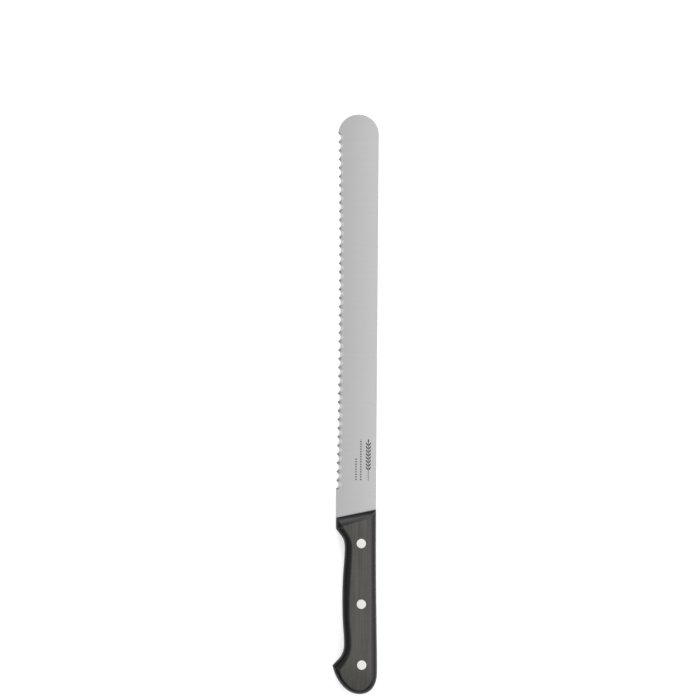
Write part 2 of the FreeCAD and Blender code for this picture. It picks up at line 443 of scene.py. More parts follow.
@dataclass(frozen=True)
class BrightSteel(Finish):
    """Rivet steel, sanded flush and buffed: fine lines along the handle, and a rougher rim that is
    painted darker as painted shade.
    """

    centre: Vector = field(default_factory=Vector)
    light: Colour = (0.93, 0.93, 0.915)
    dark: Colour = (0.80, 0.80, 0.79)
    # The rim's tone is painted shade: a dark ring round the head.
    rim: Colour = (0.45, 0.445, 0.44)
    radius: float = 3.55 * MM
    dull_and_shade_from: float = 0.93
    roughness: float = 0.26
    lines: Grain = (4200.0, 90.0, 400.0)
    spots: Grain = (700.0, 700.0, 700.0)
    spotted: Point = (0.45, 0.75)
    relief: float = 0.008 * MM

    def surface(self, kit: NodeKit, x: Socket, y: Socket, z: Socket) -> dict[str, Any]:
        """See Finish.surface."""
        lines = self.grain((x, y, z), self.lines)
        spots = self.grain((x, y, z), self.spots).ramp(*self.spotted)
        across, along = x - self.centre.x, y - self.centre.y
        from_centre = (across * across + along * along).root() / self.radius
        # The rim is rougher, and painted darker as painted shade.
        rim = from_centre.ramp(self.dull_and_shade_from, 1.0)
        colour = kit.mix(lines * 0.6 + spots * 0.2, self.light, self.dark)
        return {
            "Base Color": kit.mix(rim * 0.7, colour, self.rim),
            "Metallic": 1.0,
            "Roughness": self.roughness + lines * 0.12 + rim * 0.15,
            "Normal": self.bump(lines, self.relief, 0.4),
        }


@dataclass(frozen=True)
class PaleBoard(Finish):
    """The plain pale surface that the knife lies on, which glows a little."""

    light: Colour = (0.77, 0.77, 0.77)
    dark: Colour = (0.73, 0.73, 0.73)
    cloud: Grain = (3.0, 3.0, 3.0)
    roughness: float = 0.8
    glow: float = 0.45

    def surface(self, kit: NodeKit, x: Socket, y: Socket, z: Socket) -> dict[str, Any]:
        """See Finish.surface."""
        cloud = self.grain((x, y, z), self.cloud, 3.0)
        return {
            "Base Color": kit.mix(cloud, self.light, self.dark),
            "Roughness": self.roughness,
            "Emission Color": (1.0, 1.0, 1.0, 1.0),
            "Emission Strength": self.glow,
        }


# ---- Meshes ----


class Mesher:
    """Collects points and faces in millimetres about the heel, and makes a finished piece."""

    def __init__(self, datum: Vector) -> None:
        """Starts an empty mesh.

        Args:
            datum: where the heel datum is in the frame, in metres.
        """
        self.datum = datum
        self.points: list[tuple[float, float, float]] = []
        self.faces: list[tuple[int, ...]] = []
        self.point_values: dict[str, list[float]] = {}
        self.face_values: dict[str, list[float]] = {}

    def put(
        self, points: Sequence[Sequence[float]], **values: Sequence[float] | float
    ) -> list[int]:
        """Adds points with their values.

        Args:
            points: x, y and z of each.
            values: one value for all of them or one for each, by the value's name.

        Returns:
            The new points' numbers.
        """
        start = len(self.points)
        self.points += [tuple(map(float, p)) for p in points]
        for name in set(self.point_values) | set(values):
            given = values.get(name, 0.0)
            row = list(given) if hasattr(given, "__len__") else [float(given)] * len(points)
            kept = self.point_values.setdefault(name, [0.0] * start)
            kept += [float(v) for v in row]
        return list(range(start, len(self.points)))

    def face(self, corners: Sequence[int], **values: float) -> None:
        """Adds one face.

        Args:
            corners: the numbers of its points.
            values: its values, by name.
        """
        count = len(self.faces)
        self.faces.append(tuple(corners))
        for name in set(self.face_values) | set(values):
            self.face_values.setdefault(name, [0.0] * count).append(values.get(name, 0.0))

    def bridge(self, a: Sequence[int], b: Sequence[int], **values: float) -> None:
        """Joins two closed rows of points with a band of faces.

        Args:
            a: the first row.
            b: the next row, with as many points.
            values: the faces' values, by name.
        """
        for k in range(len(a)):
            n = (k + 1) % len(a)
            self.face((a[k], a[n], b[n], b[k]), **values)

    def cap(
        self, outline: np.ndarray, holes: Sequence[np.ndarray], z: float, **values: float
    ) -> None:
        """Fills a flat outline round its holes.

        Args:
            outline: the outer points, as x and y.
            holes: the points of each hole.
            z: the height of the face.
            values: values for its points.
        """
        flat = [Vector(p) for p in outline]
        edges = [(k, (k + 1) % len(outline)) for k in range(len(outline))]
        for hole in holes:
            start = len(flat)
            flat += [Vector(p) for p in hole]
            edges += [(start + k, start + (k + 1) % len(hole)) for k in range(len(hole))]
        found, _, faces, *_ = delaunay_2d_cdt(flat, edges, [], 1, FILL_REACH)
        numbers = self.put([(p.x, p.y, z) for p in found], **values)
        rounds = [(np.mean(hole, axis=0), np.ptp(hole[:, 0]) / 2) for hole in holes]
        for face in faces:
            centre = np.mean([found[k] for k in face], axis=0)
            if all(np.hypot(*(centre - c)) > radius * 0.999 for c, radius in rounds):
                self.face([numbers[k] for k in face])

    def mesh(self, name: str, scale: float = MM) -> bpy.types.Mesh:
        """The closed mesh, with its doubles merged and its faces outward.

        Args:
            name: the mesh's name.
            scale: MM puts it in the frame in metres, and 1.0 leaves it in millimetres.

        Returns:
            The new mesh, with the collected values as attributes.
        """
        mesh = bpy.data.meshes.new(name)
        co = np.array(self.points)
        if scale == MM:
            co = co * MM + np.array(self.datum)
        mesh.from_pydata(co.tolist(), [], self.faces)
        for key, row in self.point_values.items():
            mesh.attributes.new(key, "FLOAT", "POINT").data.foreach_set("value", row)
        for key, row in self.face_values.items():
            mesh.attributes.new(key, "FLOAT", "FACE").data.foreach_set("value", row)
        close(mesh, WELD * scale)
        return mesh


def close(mesh: bpy.types.Mesh, reach: float) -> None:
    """Merges doubled points, drops faces with no area and turns the rest outward.

    Args:
        mesh: the mesh to clean.
        reach: how near two points have to be to be merged.
    """
    work = bmesh.new()
    work.from_mesh(mesh)
    bmesh.ops.remove_doubles(work, verts=work.verts, dist=reach)
    bmesh.ops.dissolve_degenerate(work, edges=work.edges, dist=reach * 0.5)
    bmesh.ops.recalc_face_normals(work, faces=work.faces)
    loose = [v for v in work.verts if not v.link_faces]
    bmesh.ops.delete(work, geom=loose, context="VERTS")
    work.to_mesh(mesh)
    work.free()


def shade(mesh: bpy.types.Mesh, sharp: float) -> None:
    """Smooth shading with edges kept where faces meet at more than sharp degrees."""
    mesh.shade_smooth()
    mesh.set_sharp_from_angle(angle=math.radians(sharp))


def stand_for(
    mesh: bpy.types.Mesh, name: str, node: str, finish: bpy.types.Material
) -> bpy.types.Object:
    """Makes an object of the mesh in place of a CAD node.

    Args:
        mesh: the finished mesh, already in place.
        name: the piece's name.
        node: the CAD node that it stands for.
        finish: its material.

    Returns:
        The new object.
    """
    piece = bpy.data.objects.new(name, mesh)
    bpy.context.scene.collection.objects.link(piece)
    mesh.materials.clear()
    mesh.materials.append(finish)
    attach(piece, "root")
    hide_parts(node)
    log.info("%s stands for %s: %d faces", name, node, len(mesh.polygons))
    return piece


def clamped_spline(
    points: np.ndarray, first: np.ndarray, last: np.ndarray, count: int
) -> np.ndarray:
    """A smooth cubic curve through points, with given directions at both ends.

    Args:
        points: what the curve passes through.
        first: the direction at the start, of length 1.
        last: the direction at the end, of length 1.
        count: how many points to return on the curve.

    Returns:
        The points, spaced evenly by chord.
    """
    gap = np.hypot(*np.diff(points, axis=0).T)
    knots = np.concatenate([[0.0], np.cumsum(gap)])
    size = len(points)
    matrix, right = np.eye(size), np.zeros((size, 2))
    right[0], right[-1] = first, last
    for k in range(1, size - 1):
        a, b = gap[k - 1], gap[k]
        matrix[k, k - 1 : k + 2] = (b, 2 * (a + b), a)
        right[k] = 3 * (b / a * (points[k] - points[k - 1]) + a / b * (points[k + 1] - points[k]))
    slope = np.linalg.solve(matrix, right)
    t = np.linspace(0.0, knots[-1], count)
    k = np.clip(np.searchsorted(knots, t, side="right") - 1, 0, size - 2)
    u = ((t - knots[k]) / gap[k])[:, None]
    g = gap[k][:, None]
    return (
        points[k] * (2 * u**3 - 3 * u**2 + 1)
        + slope[k] * g * (u**3 - 2 * u**2 + u)
        + points[k + 1] * (3 * u**2 - 2 * u**3)
        + slope[k + 1] * g * (u**3 - u**2)
    )


def bend(t: Any, start: np.ndarray, corner: np.ndarray, end: np.ndarray) -> np.ndarray:
    """A curve from start to end that a corner pulls, at t from 0 to 1."""
    return (1 - t) ** 2 * start + 2 * t * (1 - t) * corner + t**2 * end


def circle(centre: Point, radius: float, count: int) -> np.ndarray:
    """Points on a circle, as x and y."""
    turn = np.arange(count) * 2 * math.pi / count
    return np.stack([centre[0] + radius * np.cos(turn), centre[1] + radius * np.sin(turn)], 1)


def ease(value: Any, low: float, high: float) -> Any:
    """A smooth step from 0 at low to 1 at high."""
    t = np.clip((value - low) / (high - low), 0.0, 1.0)
    return t * t * (3 - 2 * t)


# ---- The handle ----


class Meeting(Enum):
    """How a stretch of the outline starts from the one before."""

    CORNER = "with a corner"
    SMOOTH = "smoothly, running along the knife"


class Side(Enum):
    """The two sides of the knife. The value is the sign of the height."""

    LEFT = 1
    RIGHT = -1


@dataclass(frozen=True)
class Stretch:
    """A run of the handle's outline, with matching points round its flat face, in millimetres."""

    begins: Meeting
    count: int
    outer: tuple[Point, ...]
    flat: tuple[Point, ...]


@dataclass(frozen=True)
class HandleShape:
    """The handle's plan: its outline at the tang and the edge of its flat face."""

    stretches: tuple[Stretch, ...] = (
        # the slanted front
        Stretch(Meeting.CORNER, 26, (FRONT, HEEL), ((-4.0, -5.7), (-24.4, -12.4))),
        # the short heel below the edge
        Stretch(Meeting.CORNER, 10, (HEEL, (-30.2, -14.4)), ((-24.4, -12.4), (-24.0, -13.4))),
        # the finger notch
        Stretch(
            Meeting.CORNER,
            30,
            ((-30.2, -14.4), (-27.3, -18.0), (-24.7, -21.8), (-23.5, -28.5)),
            ((-24.0, -13.4), (-21.3, -17.2), (-18.9, -21.8), (-17.6, -28.5)),
        ),
        # the belly
        Stretch(
            Meeting.SMOOTH,
            64,
            ((-23.5, -28.5), (-24.5, -47.0), (-25.0, -64.0), (-24.5, -84.0), (-23.5, -101.0)),
            ((-17.6, -28.5), (-18.2, -47.0), (-19.1, -64.0), (-19.0, -84.0), (-17.7, -101.0)),
        ),
        # the hollow in front of the beak
        Stretch(
            Meeting.SMOOTH,
            34,
            ((-23.5, -101.0), (-24.3, -106.6), (-26.4, -110.7), (-29.5, -114.1), (-32.2, -117.0)),
            ((-17.7, -101.0), (-18.2, -106.0), (-19.7, -110.6), (-22.4, -115.6), (-26.0, -120.6)),
        ),
        # the round butt
        Stretch(
            Meeting.CORNER,
            84,
            ((-32.2, -117.0), (-30.6, -122.0), (-26.8, -129.2), (-20.6, -135.6), (-11.8, -138.5),
             (-4.0, -136.2), (0.4, -130.0), (1.6, -122.0)),
            ((-26.0, -120.6), (-24.9, -124.4), (-22.2, -128.9), (-17.6, -133.2), (-11.4, -134.9),
             (-6.2, -132.9), (-3.5, -128.6), (-2.8, -122.0)),
        ),
        # the back
        Stretch(
            Meeting.SMOOTH,
            90,
            ((1.6, -122.0), (1.3, -100.0), (0.5, -60.0), (0.1, -25.0), FRONT),
            ((-2.8, -122.0), (-3.0, -100.0), (-3.5, -60.0), (-4.0, -25.0), (-4.0, -5.7)),
        ),
    )
    dense: int = 200
    corner_points: int = 5
    most_cut: float = 0.4

    def run(self, number: int, share: float) -> np.ndarray:
        """One stretch as a dense row of points.

        Args:
            number: which stretch.
            share: 0 at the tang's outline, 1 at the edge of the flat.

        Returns:
            The points as x and y.
        """
        stretch = self.stretches[number]
        following = self.stretches[(number + 1) % len(self.stretches)]
        outer, flat = np.array(stretch.outer), np.array(stretch.flat)
        points = outer + share * (flat - outer)
        if len(points) == 2:
            return points[0] + np.linspace(0, 1, self.dense)[:, None] * (points[1] - points[0])
        ends = []
        for step, meeting in (
            (points[1] - points[0], stretch.begins),
            (points[-1] - points[-2], following.begins),
        ):
            along = np.array([0.0, math.copysign(1.0, step[1])])
            ends.append(along if meeting is Meeting.SMOOTH else step / np.hypot(*step))
        return clamped_spline(points, ends[0], ends[1], self.dense)

    def ring(self, share: float, soften: float) -> tuple[np.ndarray, np.ndarray]:
        """The whole outline, a share of the way from the tang's outline to the flat face.

        Args:
            share: 0 at the tang's outline, 1 at the edge of the flat.
            soften: how far each corner is cut back and rounded, in millimetres.

        Returns:
            The points as x and y, and 1 on the rounded corners and 0 elsewhere.
        """
        count = len(self.stretches)
        rows, corners = [], []
        for number, stretch in enumerate(self.stretches):
            dense = self.run(number, share)
            length = np.concatenate([[0.0], np.cumsum(np.hypot(*np.diff(dense, axis=0).T))])
            cut = min(soften, self.most_cut * length[-1])
            following = self.stretches[(number + 1) % count]
            low = cut if stretch.begins is Meeting.CORNER else 0.0
            high = cut if following.begins is Meeting.CORNER else 0.0
            at = np.linspace(low, length[-1] - high, stretch.count)
            rows.append(np.stack([np.interp(at, length, dense[:, k]) for k in (0, 1)], 1))
            corners.append(dense[0])
        points, worn = [], []
        for number, stretch in enumerate(self.stretches):
            row = rows[number]
            if stretch.begins is Meeting.CORNER:
                t = np.linspace(0, 1, self.corner_points + 2)[1:-1, None]
                turned = bend(t, rows[number - 1][-1], corners[number], row[0])
                points += [turned, row]
                worn += [np.ones(len(turned)), np.zeros(len(row))]
            else:
                points.append(row[1:])
                worn.append(np.zeros(len(row) - 1))
        return np.concatenate(points), np.concatenate(worn)


@dataclass
class HandleScale:
    """One moulded handle scale: a short wall, a rounded side, a flat face and the rivet holes."""

    side: Side
    shape: HandleShape
    datum: Vector
    rivets: list[Point]
    finish: bpy.types.Material
    low: float = 1.1
    seam: float = 0.1
    # the seam's lip: share, height in seams, wear
    lip: tuple[Level, ...] = ((0.018, 0.0, 0.6), (0.004, 0.4, 1.0), (0.0, 1.0, 0.8))
    wall: float = 1.2
    top: float = 8.0
    round_end: float = 66.0
    round_steps: int = 15
    blend_from: float = 0.883
    blend_corner: float = 0.97
    blend_to: float = 1.12
    blend_steps: int = 8
    sanded_from: Point = (0.88, 1.06)
    soften: float = 0.55
    wall_wear: float = 0.1
    corner_wear: float = 0.9
    flat_wear: float = 0.5
    head: float = 3.67
    head_depth: float = 1.6
    head_chamfer: float = 0.08
    shank: float = 2.56
    hole_points: int = 72
    sharp: float = 24.0

    def levels(self) -> list[Level]:
        """The side's rows of points.

        Returns:
            The rows from the tang to the flat, rounding over onto it at the end.
        """
        end = math.radians(self.round_end)
        start = self.low + self.wall
        rows = [(share, self.low + self.seam * up, wear) for share, up, wear in self.lip]
        rows.append((0.0, self.low + self.wall / 2, self.wall_wear))
        for k in range(self.round_steps):
            turn = end * k / (self.round_steps - 1) * self.blend_from
            share = (1 - math.cos(turn)) / (1 - math.cos(end))
            rows.append((share, start + (self.top - start) * math.sin(turn) / math.sin(end), 0.0))
        ends = rows[-1][:2], (self.blend_corner, self.top), (self.blend_to, self.top)
        for t in np.linspace(0, 1, self.blend_steps + 1)[1:]:
            share, height = bend(t, *map(np.array, ends))
            rows.append((share, height, self.flat_wear))
        return rows

    def build(self) -> bpy.types.Object:
        """Makes the scale.

        Returns:
            The finished piece.
        """
        work = Mesher(self.datum)
        sign = self.side.value
        levels = self.levels()
        before: list[int] = []
        rings = []
        for share, height, worn in levels:
            ring, corner = self.shape.ring(share, self.soften)
            rings.append(ring)
            edge = np.maximum(corner * self.corner_wear, worn)
            sanded = float(ease(share, *self.sanded_from))
            now = work.put([(x, y, sign * height) for x, y in ring], edge=edge, sanded=sanded)
            if before:
                work.bridge(before, now)
            before = now
        mouths = [circle(c, self.head + self.head_chamfer, self.hole_points) for c in self.rivets]
        shanks = [circle(c, self.shank, self.hole_points) for c in self.rivets]
        work.cap(rings[-1], mouths, sign * self.top, sanded=1.0)
        work.cap(rings[0], shanks, sign * self.low)
        for centre in self.rivets:
            self._drill(work, centre, sign)
        side = self.side.name.lower()
        mesh = work.mesh(f"{side}_grip")
        shade(mesh, self.sharp)
        return stand_for(mesh, f"{side}_grip", f"{side}_scale", self.finish)

    def _drill(self, work: Mesher, centre: Point, sign: int) -> None:
        """Adds the walls of one counterbored rivet hole.

        Args:
            work: collects the faces.
            centre: the hole's middle, as x and y.
            sign: 1 on the left side, -1 on the right.
        """
        floor = self.top - self.head_depth
        profile = (
            (self.head + self.head_chamfer, self.top),
            (self.head, self.top - self.head_chamfer),
            (self.head, floor),
            (self.shank, floor),
            (self.shank, self.low),
        )
        rows = [
            work.put(
                [(x, y, sign * z) for x, y in circle(centre, radius, self.hole_points)],
                sanded=1.0 if z > floor else 0.0,
            )
            for radius, z in profile
        ]
        for a, b in zip(rows, rows[1:]):
            work.bridge(a, b)


# ---- The rivets ----


class RivetHalf(Enum):
    """The two halves of a rivet."""

    TUBE = "tube"
    PIN = "pin"


@dataclass
class Rivet:
    """A two-piece rivet: a headed tube from the left and a headed pin from the right."""

    place: str
    datum: Vector
    centre: Point
    finish: bpy.types.Material
    top: float = 8.0
    head: float = 3.55
    head_depth: float = 1.6
    round_rim: float = 0.14
    rim_steps: int = 5
    dome: float = 0.05
    dome_steps: int = 8
    tube: float = 2.5
    bore: float = 1.62
    pin: float = 1.6
    end_gap: float = 0.7
    points: int = 72
    sharp: float = 28.0

    def head_profile(self) -> list[Point]:
        """Half of the head's outline.

        Returns:
            Radius and height, from the axis over the dome and the rounded rim to the underside.
        """
        rows = [(0.0, self.top)]
        flat = self.head - self.round_rim
        for k in range(1, self.dome_steps + 1):
            out = k / self.dome_steps
            rows.append((flat * out, self.top - self.dome * out**4))
        for k in range(1, self.rim_steps + 1):
            turn = math.pi / 2 * k / self.rim_steps
            drop = self.dome + self.round_rim * (1 - math.cos(turn))
            rows.append((flat + self.round_rim * math.sin(turn), self.top - drop))
        rows.append((self.head, self.top - self.head_depth))
        return rows

    def profile(self, half: RivetHalf) -> list[Point]:
        """The whole outline of one half of the rivet.

        Args:
            half: which half.

        Returns:
            Radius and height towards its own head.
        """
        under = self.top - self.head_depth
        end = self.end_gap - under
        if half is RivetHalf.TUBE:
            shank = [(self.tube, under), (self.tube, end), (self.bore, end), (self.bore, under)]
            shank.append((0.0, under))
        else:
            shank = [(self.pin, under), (self.pin, end), (0.0, end)]
        return self.head_profile() + shank

    def build(self, half: RivetHalf) -> bpy.types.Object:
        """Makes one half.

        Args:
            half: which half.

        Returns:
            The finished piece.
        """
        sign = 1 if half is RivetHalf.TUBE else -1
        work = Mesher(self.datum)
        rows = []
        for radius, height in self.profile(half):
            ring = circle(self.centre, radius, self.points)
            rows.append(work.put([(x, y, sign * height) for x, y in ring]))
        for a, b in zip(rows, rows[1:]):
            work.bridge(a, b)
        name = f"{self.place}_{half.value}_turned"
        mesh = work.mesh(name)
        shade(mesh, self.sharp)
        return stand_for(mesh, name, f"{self.place}_rivet_{half.value}", self.finish)


# ---- The blade ----


@dataclass
class Blade:
    """The steel blank: a flat-ground blade with a scalloped edge, and the tang in the handle."""

    shape: HandleShape
    datum: Vector
    finish: bpy.types.Material
    sheet: float = 1.1
    tip_y: float = TIP_Y
    tip_radius: float = 15.4
    edge_start: float = 15.7
    edge_end: float = 283.2
    edge_widths: tuple[float, float, float] = (30.4, 29.6, 30.7)
    grind_drop: float = 0.6
    grind_taper: float = 0.15
    run_in: float = 7.0
    step: float = 0.6
    crown: float = 0.10
    crown_over: Point = (2.0, 40.0)
    # how round the steel's edges are: at the spine and tip, round the tang, beside the scallops
    spine_round: float = 0.85
    corner_round: float = 0.12
    crisp: float = 0.02
    crisp_over: float = 2.0
    tip_rounds_over: float = 6.0
    spine_rounds_over: Point = (-0.3, 0.6)
    scallops: int = 41
    scallop_steps: int = 20
    scallop_depth: float = 2.0
    scallop_angle: float = 25.0
    land: float = 0.08
    rim_points: int = 16
    rim_gap: float = 0.04
    rim_room: float = 0.97
    run_out: float = 1.3
    # rows of points along the blade: the butt's, then where each run starts and how many it has
    butt_rows: int = 44
    tang_rows: tuple[tuple[float, int], ...] = (
        (-117.0, 24), (-101.0, 36), (-28.5, 24), (-14.4, 10)
    )
    step_rows: int = 3
    heel_rows: int = 34
    heel_end: tuple[float, int] = (12.0, 10)
    fine_rows: int = 41
    tip_rows: int = 54
    slant_from: float = -60.0
    slant_ends: Point = (15.0, 90.0)
    sharp: float = 17.0
    # The rim marks: the ground scallops and the rounded rims, which the finish paints brighter,
    # partly as painted highlight, and the tang.
    marks: tuple[str, ...] = ("ground", "polished", "tang")
    left_columns: tuple[float, ...] = (0.0, 0.13, 0.26, 0.38, 0.5, 0.62)
    right_columns: tuple[float, ...] = (0.14, 0.28, 0.42, 0.56, 0.7, 0.84)

    def width(self, y: np.ndarray) -> np.ndarray:
        """How far the line of tooth points is from the spine at y."""
        start, middle, end = self.edge_widths
        t = 2 * (y - self.edge_start) / (self.edge_end - self.edge_start) - 1
        return middle + t * (end - start) / 2 + t * t * ((start + end) / 2 - middle)

    def half(self, x: np.ndarray, y: np.ndarray) -> np.ndarray:
        """Half of the steel's thickness.

        Args:
            x: the place across the knife, 0 on the spine line.
            y: the place along it.

        Returns:
            The height of the left face above the middle of the steel.
        """
        across = np.clip(-x / self.edge_widths[0], 0.0, 1.0)
        taper = self.grind_taper * np.clip(y, 0, None) / self.tip_y
        ground = self.sheet - self.grind_drop * across - taper
        ahead = y - FRONT[1] - (HEEL[1] - FRONT[1]) / HEEL[0] * x - self.step
        ramp = self.sheet - self.grind_drop / self.run_in * ahead
        crown = self.crown * 4 * across * (1 - across) * ease(ahead, *self.crown_over)
        return np.minimum(self.sheet, np.maximum(ground + crown, ramp))

    def stations(self) -> tuple[np.ndarray, np.ndarray]:
        """The outline's points on the edge side and on the spine side, from butt to tip.

        Returns:
            Two matching rows of x and y.
        """
        runs = [self.shape.run(k, 0.0) for k in range(1, len(self.shape.stretches))]
        outline = np.concatenate(runs)
        low = int(np.argmin(outline[:, 1]))
        belly, back = outline[: low + 1][::-1], outline[low:]
        bottom, first = outline[low, 1], self.tang_rows[0][0]
        rows = (
            *self.tang_rows,
            (HEEL[1], self.step_rows),
            (HEEL[1] + self.step, self.heel_rows),
            self.heel_end,
            (self.edge_start - self.run_out, self.fine_rows),
            (self.edge_start, self.scallops * self.scallop_steps + 1),
            (self.edge_end, 0),
        )
        spans = [bottom + (first - bottom) * np.linspace(0, 1, self.butt_rows)[:-1] ** 2]
        spans += [np.linspace(a, b, count)[:-1] for (a, count), (b, _) in zip(rows, rows[1:])]
        y = np.append(np.concatenate(spans), self.edge_end)
        shear = ease(y, self.slant_from, HEEL[1]) * (1 - ease(y, *self.slant_ends))
        lag = (self.edge_end - (self.tip_y - self.tip_radius)) * np.clip(y, 0, None) / self.edge_end
        right_y = y + (FRONT[1] - HEEL[1]) * shear - lag
        heel_x = np.interp(y, [HEEL[1], self.edge_start], [HEEL[0], -self.edge_widths[0]])
        left_x = np.where(y > self.edge_start, -self.width(y), heel_x)
        left_x = np.where(y < HEEL[1], np.interp(y, belly[:, 1], belly[:, 0]), left_x)
        right_x = np.where(right_y < FRONT[1], np.interp(right_y, back[:, 1], back[:, 0]), 0.0)
        left, right = np.stack([left_x, y], 1), np.stack([right_x, right_y], 1)
        centre = np.array([-self.tip_radius, self.tip_y - self.tip_radius])
        rise = self.edge_end - centre[1]
        start = math.pi - math.asin(rise / self.tip_radius)
        ends = []
        near = self.run_out / (self.tip_radius * (start - math.pi / 2))
        share = np.concatenate([
            np.linspace(0, near, self.fine_rows)[1:], np.linspace(near, 1, self.tip_rows)[1:]
        ])
        for first in (start, 0.0):
            turn = first + (math.pi / 2 - first) * share
            ends.append(centre + self.tip_radius * np.stack([np.cos(turn), np.sin(turn)], 1))
        return np.concatenate([left, ends[0]]), np.concatenate([right, ends[1]])

    def rim(
        self, outline: np.ndarray, inward: np.ndarray, radius: float
    ) -> list[tuple[float, ...]]:
        """The rounded edge of the steel at one place of the outline.

        Args:
            outline: the place, as x and y.
            inward: the direction into the steel, of length 1.
            radius: how round the edge is, up to nearly half of the steel.

        Returns:
            Its points from the top to the bottom.
        """
        shoulder = outline + inward * radius
        half = float(self.half(shoulder[0], shoulder[1]))
        r = min(radius, half * self.rim_room)
        rows = []
        for sign in (1, -1):
            turns = np.linspace(math.pi / 2, self.rim_gap, self.rim_points // 2)
            for turn in turns if sign > 0 else turns[::-1]:
                place = outline + inward * r * (1 - math.cos(turn))
                rows.append((place[0], place[1], sign * (half - r + r * math.sin(turn))))
        return rows

    def blank(self) -> bpy.types.Mesh:
        """The steel before its scallops are ground, in millimetres.

        Returns:
            The mesh. Its points say how far down the edge they are, and where the edge is.
        """
        left, right = self.stations()
        work = Mesher(self.datum)
        before: list[int] = []
        inner = len(self.left_columns)
        tip_from = int(np.argmin(abs(left[:, 1] - self.edge_end)))
        clear = self.edge_start - self.run_out, self.edge_end + self.run_out
        pivot = (left[tip_from] + right[tip_from]) / 2
        tip_centre = np.array([-self.tip_radius, self.tip_y - self.tip_radius])
        for number, (a, b) in enumerate(zip(left, right)):
            fan = number > tip_from
            centre = pivot if fan else (a + b) / 2
            inwards = [np.array([1.0, 0.0]), np.array([-1.0, 0.0])]
            if fan:
                inwards = [(tip_centre - p) / np.hypot(*(tip_centre - p)) for p in (a, b)]
            plain = 1 - ease(a[1], clear[0] - self.crisp_over, clear[0])
            bare = ease(b[1], *(FRONT[1] + off for off in self.spine_rounds_over))
            shares = (
                (self.crisp, self.corner_round, plain),
                (self.corner_round, self.spine_round, bare),
            )
            rounds = [float(low + (high - low) * share) for low, high, share in shares]
            if fan:
                past = ease(a[1], clear[1], clear[1] + self.tip_rounds_over)
                rounds[0] += (self.spine_round - rounds[0]) * float(past)
            columns = (a, self.left_columns), (b, self.right_columns)
            tops = [self._row(centre, end, shares) for end, shares in columns]
            rims = [self.rim(p, n, r) for p, n, r in zip((a, b), inwards, rounds)]
            loop = (
                self._faces(tops[0], 1)
                + rims[0]
                + self._faces(tops[0], -1)[::-1]
                + self._faces(tops[1], -1)
                + rims[1][::-1]
                + self._faces(tops[1], 1)[::-1]
            )
            down = [-1.0] * len(loop)
            down[inner : inner + self.rim_points] = np.linspace(0, 1, self.rim_points)
            edge_y = min(a[1], self.edge_end)
            line = -float(self.width(np.array(max(edge_y, self.edge_start))))
            now = work.put(
                loop, down=down, outline_x=a[0], line_x=line, edge_half=float(self.half(line, a[1]))
            )
            if before:
                near = abs(a[1] - (self.edge_start + self.edge_end) / 2)
                if near < (self.edge_end - self.edge_start) / 2 + self.run_out:
                    left_mark = "ground"
                elif fan:
                    left_mark = "polished"
                else:
                    left_mark = "tang" if a[1] <= HEEL[1] else ""
                right_mark = "polished" if b[1] > FRONT[1] else "tang"
                self._band(work, before, now, left_mark, right_mark)
            before = now
        return work.mesh("blank", 1.0)

    def _band(self, work: Mesher, a: list[int], b: list[int], left: str, right: str) -> None:
        """Joins two sections, and marks their rims.

        Args:
            work: collects the faces.
            a: the first section's points.
            b: the next section's points.
            left: the mark for the rim on the edge side: ground, polished, tang or none.
            right: the mark for the rim on the spine side.
        """
        inner = len(self.left_columns)
        back_from = inner + self.rim_points + inner + len(self.right_columns)
        marks = {inner + k: left for k in range(self.rim_points - 1)}
        marks |= {back_from + k: right for k in range(self.rim_points - 1)}
        for k in range(len(a)):
            n = (k + 1) % len(a)
            work.face((a[k], a[n], b[n], b[k]), **{m: float(marks.get(k) == m) for m in self.marks})

    @staticmethod
    def _row(centre: np.ndarray, outline: np.ndarray, columns: Sequence[float]) -> np.ndarray:
        """Points from the middle of the blade part of the way to the outline."""
        return centre + np.array(columns)[:, None] * (outline - centre)

    def _faces(self, row: np.ndarray, sign: int) -> list[tuple[float, ...]]:
        """A row of points on the left or the right face."""
        return [(x, y, sign * float(self.half(x, y))) for x, y in row]

    def build(self) -> bpy.types.Object:
        """Makes the blade and its tang.

        Returns:
            The finished piece.
        """
        rough = bpy.data.objects.new("rough_blank", self.blank())
        bpy.context.scene.collection.objects.link(rough)
        grinder = ScallopGrinder(self, self.finish)
        mesh = grinder.grind(rough, "blade_steel_blank")
        bpy.data.objects.remove(rough)
        close(mesh, WELD * MM)
        shade(mesh, self.sharp)
        return stand_for(mesh, "blade_and_tang", "blade", self.finish)


